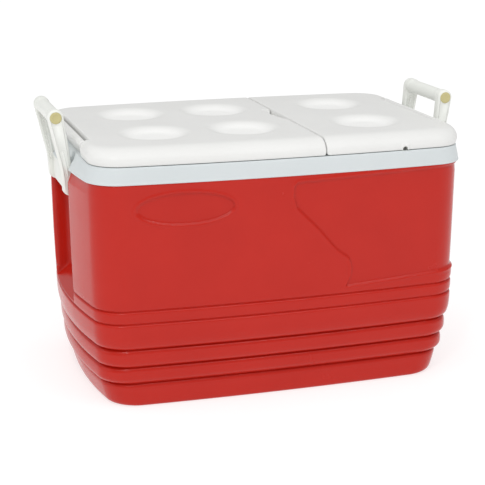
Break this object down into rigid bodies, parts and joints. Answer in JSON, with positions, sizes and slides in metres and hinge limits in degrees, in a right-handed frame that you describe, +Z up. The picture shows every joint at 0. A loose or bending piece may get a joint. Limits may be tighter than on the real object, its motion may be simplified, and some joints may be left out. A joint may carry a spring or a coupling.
{
  "type": "ice chest",
  "caption": "Red ice chest with stepped foot, white collar, two end-hinged lids with round drink dishes, and a swing-up bail handle at each end.",
  "frame": {"origin": "middle of the base, on the surface the chest stands on", "axes": "+X along the length, +Y to the back, +Z up"},
  "size_m": [0.6904, 0.4426, 0.464],
  "materials": {
    "shell_red": "satin moulded polyethylene",
    "foam": "rigid closed-cell foam",
    "liner_white": "smooth moulded",
    "collar_white": "satin moulded",
    "lid_white": "satin moulded",
    "handle_white": "satin moulded",
    "core_cream": "satin moulded",
    "steel": "plain rod"
  },
  "bodies": {
    "chest": {"outer_shell": "shell_red", "body_foam": "foam", "inner_liner": "liner_white", "rim_collar": "collar_white", "left_lid_hinge_rod": "steel", "right_lid_hinge_rod": "steel", "left_handle_pin_front": "steel", "left_handle_pin_back": "steel", "right_handle_pin_front": "steel", "right_handle_pin_back": "steel"},
    "left_lid": {"left_lid_top": "lid_white", "left_lid_foam": "foam", "left_lid_liner": "liner_white"},
    "right_lid": {"right_lid_top": "lid_white", "right_lid_foam": "foam", "right_lid_liner": "liner_white"},
    "left_handle": {"left_handle_frame": "handle_white", "left_grip_core": "core_cream"},
    "right_handle": {"right_handle_frame": "handle_white", "right_grip_core": "core_cream"}
  },
  "joints": [
    {"name": "left_lid_hinge", "type": "hinge", "parent": "chest", "child": "left_lid", "pos_m": [-0.3015, 0, 0.4153], "axis": [0, -1, 0], "range_deg": [0, 95]},
    {"name": "right_lid_hinge", "type": "hinge", "parent": "chest", "child": "right_lid", "pos_m": [0.3015, 0, 0.4153], "axis": [0, 1, 0], "range_deg": [0, 95]},
    {"name": "left_handle_pivot", "type": "hinge", "parent": "chest", "child": "left_handle", "pos_m": [-0.3155, 0, 0.338], "axis": [0, -1, 0], "range_deg": [0, 170]},
    {"name": "right_handle_pivot", "type": "hinge", "parent": "chest", "child": "right_handle", "pos_m": [0.3155, 0, 0.338], "axis": [0, 1, 0], "range_deg": [0, 172]}
  ]
}
